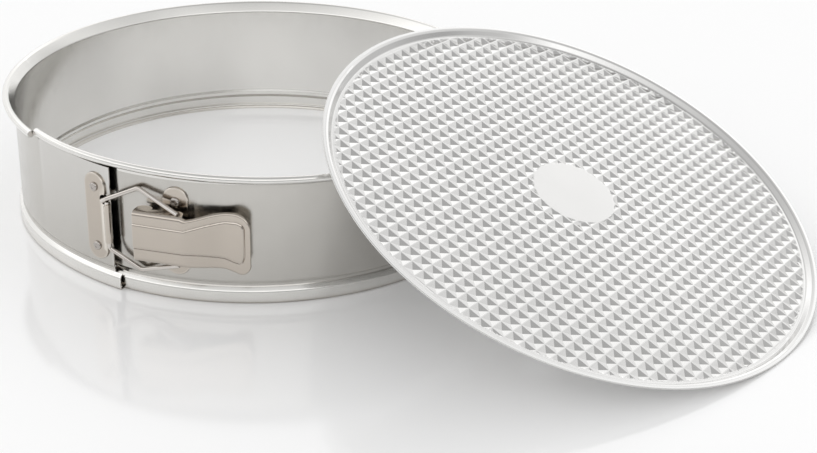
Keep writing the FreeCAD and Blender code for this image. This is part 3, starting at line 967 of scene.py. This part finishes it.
def build_floor_grid(at):
    """The whole flat floor as cells, cut finer where the stamping ends on a circle."""
    index = {}
    top = []
    triangles = []

    def vertex(x, y):
        reach = math.hypot(x, y)
        depth = stamp_depth(x, y)
        if reach > FLOOR_RADIUS:
            x, y = x * FLOOR_RADIUS / reach, y * FLOOR_RADIUS / reach
        key = (round(x, 3), round(y, 3))
        if key not in index:
            index[key] = len(top)
            top.append((x, y, -depth))
        return index[key]

    count = math.ceil(FLOOR_RADIUS / PITCH)
    for i in range(-count, count):
        for j in range(-count, count):
            reach = [math.hypot((i + a) * PITCH, (j + b) * PITCH) for a in (0, 1) for b in (0, 1)]
            if min(reach) > FLOOR_RADIUS:
                continue
            at_rim = max(reach) > WAFFLE_RADIUS - STAMP_EDGE
            fine = at_rim or min(reach) < MEDALLION + STAMP_EDGE < max(reach)
            marks = cell_marks(fine)
            for u0, u1 in zip(marks, marks[1:]):
                for v0, v1 in zip(marks, marks[1:]):
                    quad = [vertex(i * PITCH + u, j * PITCH + v)
                            for u, v in ((u0, v0), (u1, v0), (u1, v1), (u0, v1))]
                    if (u0 + u1 < PITCH) != (v0 + v1 < PITCH):
                        quad = quad[1:] + quad[:1]
                    for triangle in ((quad[0], quad[1], quad[2]), (quad[0], quad[2], quad[3])):
                        if len(set(triangle)) == 3:
                            triangles.append(triangle)
    upper = [at(x, y, FLOOR_TOP + z) for x, y, z in top]
    lower = [at(x, y, FLOOR_TOP + z - BASE_SHEET) for x, y, z in top]
    shift = len(upper)
    triangles += [tuple(shift + v for v in reversed(face)) for face in triangles]
    return upper + lower, triangles


def build_base():
    origin, down, across, normal = base_frame()
    turn = math.radians(WAFFLE_TURN)
    g1 = down * math.cos(turn) + across * math.sin(turn)
    g2 = normal.cross(g1)

    def at(x, y, z):
        return origin + g1 * x + g2 * y + normal * z

    # Out along the top of the rim, round the hem and back along the underside.
    hem = Vector((BASE_RADIUS - HEM, -HEM))
    line = rounded([(FLOOR_RADIUS, FLOOR_TOP, 0), (124.8, FLOOR_TOP, 0.9), (126.9, -0.3, 0.9),
                    (128.1, 0.0, 0.6), (hem.x, 0.0, 0)], steps=9)
    for step in range(27):
        angle = math.radians(90 - 180 * step / 26)
        line.append(hem + Vector((math.cos(angle), math.sin(angle))) * HEM)
    line.append(Vector((128.4, -2 * HEM)))
    underside = FLOOR_TOP - BASE_SHEET
    inner = rounded([(FLOOR_RADIUS, underside, 0), (125.1, underside, 1.2),
                     (127.3, -2 * HEM, 0.5), (128.3, -0.86, 0)], steps=9)
    loop = line + inner[::-1]
    rings = []
    for step in range(720):
        angle = math.radians(step / 2)
        rings.append([at(point.x * math.cos(angle), point.x * math.sin(angle), point.y)
                      for point in loop])
    piece = add_mesh("base_tray", *merge([build_floor_grid(at), shell(rings, closed=True)]),
                     BASE_TIN, sharp=9)
    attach(piece, "base")
    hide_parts("base_plate")


build_right_sheet()
build_left_sheet()
build_rim_wires()
build_keeper()
build_bracket()
build_lever()
build_bail()
build_base()


# --- stage ------------------------------------------------------------------------
def build_floor():
    mesh = bpy.data.meshes.new("floor")
    reach = 6.0
    mesh.from_pydata([(-reach, -reach, 0), (reach, -reach, 0), (reach, reach, 0),
                      (-reach, reach, 0)], [], [(0, 1, 2, 3)])
    material = bpy.data.materials.new("floor")
    material.use_nodes = True
    shader = material.node_tree.nodes["Principled BSDF"]
    shader.inputs["Base Color"].default_value = (0.95, 0.95, 0.95, 1)
    shader.inputs["Roughness"].default_value = 0.1
    shader.inputs["IOR"].default_value = 1.62
    shader.inputs["Emission Color"].default_value = (1, 1, 1, 1)
    shader.inputs["Emission Strength"].default_value = 0.09
    mesh.materials.append(material)
    floor = bpy.data.objects.new("floor", mesh)
    bpy.context.scene.collection.objects.link(floor)


def build_world():
    """Soft white surroundings: brightest halfway up, darker overhead, right and low in front."""
    world = bpy.data.worlds.new("studio")
    bpy.context.scene.world = world
    world.use_nodes = True
    tree = world.node_tree
    background = tree.nodes["Background"]
    coordinates = node(tree, "ShaderNodeTexCoord")
    split_up = node(tree, "ShaderNodeSeparateXYZ")
    tree.links.new(coordinates.outputs["Generated"], split_up.inputs["Vector"])
    height = node(tree, "ShaderNodeValToRGB")
    scale = 1.2
    # How bright it is by height, from the horizon (0) to straight overhead (1).
    levels = [(position, (level / scale, level / scale, level / scale, 1))
              for position, level in ((0.0, 0.80), (0.2, 0.76), (0.36, 0.80), (0.5, 1.14),
                                      (0.64, 0.88), (0.8, 0.6), (0.94, 0.40))]
    ramp = height.color_ramp.elements
    for stop, (position, grey) in zip(ramp, (levels[0], levels[-1])):
        stop.position = position
        stop.color = grey
    for position, grey in levels[1:-1]:
        ramp.new(position).color = grey
    tree.links.new(split_up.outputs["Z"], height.inputs["Fac"])
    front = map_range(tree, split_up.outputs["Y"], -0.9, 0.2, 0.33, 1.0)
    side = map_range(tree, split_up.outputs["X"], 0.5, 0.75, 1.0, 0.66)
    raised = map_range(tree, split_up.outputs["Z"], 0.12, 0.3)
    lift = node(tree, "ShaderNodeMath", operation="MAXIMUM")
    tree.links.new(front, lift.inputs[0])
    tree.links.new(raised, lift.inputs[1])
    dimming = node(tree, "ShaderNodeMath", operation="MULTIPLY")
    tree.links.new(lift.outputs["Value"], dimming.inputs[0])
    tree.links.new(side, dimming.inputs[1])
    blend = node(tree, "ShaderNodeMix", data_type="RGBA", blend_type="MULTIPLY")
    blend.inputs["Factor"].default_value = 1.0
    tree.links.new(height.outputs["Color"], blend.inputs["A"])
    tree.links.new(dimming.outputs["Value"], blend.inputs["B"])
    tree.links.new(blend.outputs["Result"], background.inputs["Color"])
    background.inputs["Strength"].default_value = 1.6


def add_camera():
    """The viewing angle: 26 degrees down from the front, rolled a little."""
    eye = place((83.09, -806.38, 371.72))
    pitch = math.radians(25.88)
    roll = math.radians(-1.475)
    forward = Vector((0, math.cos(pitch), -math.sin(pitch)))
    right = Vector((1, 0, 0))
    up = right.cross(forward)
    turned_right = right * math.cos(roll) - up * math.sin(roll)
    turned_up = right * math.sin(roll) + up * math.cos(roll)
    camera = bpy.data.objects.new("camera", bpy.data.cameras.new("camera"))
    bpy.context.scene.collection.objects.link(camera)
    camera.data.sensor_width = 36
    camera.data.lens = 69.74
    camera.data.clip_end = 50      # metres
    camera.matrix_world = Matrix.Translation(eye) @ Matrix(
        (turned_right, turned_up, -forward)).transposed().to_4x4()
    bpy.context.scene.camera = camera


build_floor()
build_world()
add_camera()
bpy.context.scene.view_settings.view_transform = "Standard"
